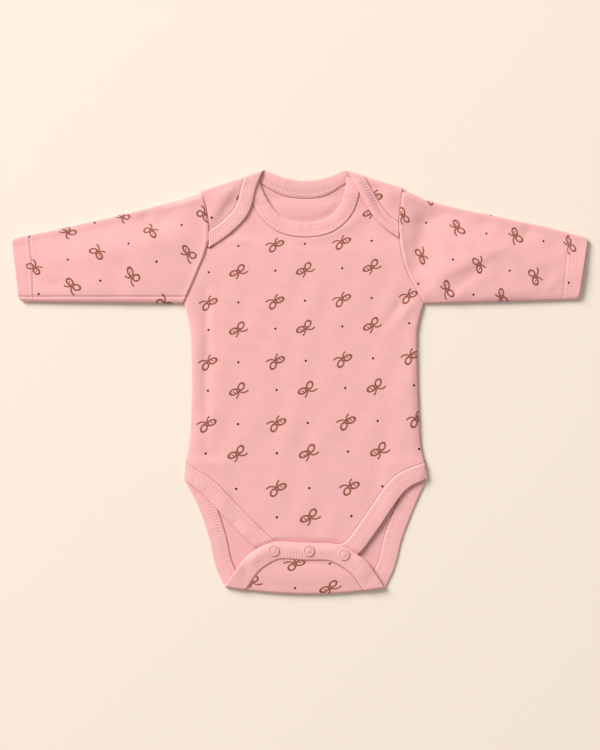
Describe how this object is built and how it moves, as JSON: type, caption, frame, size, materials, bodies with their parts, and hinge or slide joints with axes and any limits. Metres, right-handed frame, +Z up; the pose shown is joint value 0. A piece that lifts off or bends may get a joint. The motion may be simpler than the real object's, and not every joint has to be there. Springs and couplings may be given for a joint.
{
  "type": "baby onesie",
  "caption": "Long-sleeved baby bodysuit of printed cotton jersey, laid flat front up, with lapped shoulders, bound edges and a snapped crotch.",
  "frame": {"origin": "on the surface that the garment lies on, under the middle of its outline", "axes": "+X to the sleeve at the right as seen from above, +Y from the crotch to the neck, +Z up out of the front"},
  "size_m": [0.5163, 0.3815, 0.0072],
  "materials": {
    "jersey": "soft cotton jersey, printed with small bows and dots",
    "binding": "plain soft cotton jersey, folded and coverstitched",
    "snap": "pink enamel, satin"
  },
  "bodies": {
    "root": {"front_panel": "jersey", "back_panel": "jersey", "sleeve_left": "jersey", "sleeve_right": "jersey", "neck_binding_front": "binding", "neck_binding_back": "binding", "leg_binding_front": "binding", "leg_binding_back": "binding", "snap_cap_1": "snap", "snap_cap_2": "snap", "snap_cap_3": "snap", "snap_socket_1": "snap", "snap_socket_2": "snap", "snap_socket_3": "snap"}
  },
  "joints": []
}
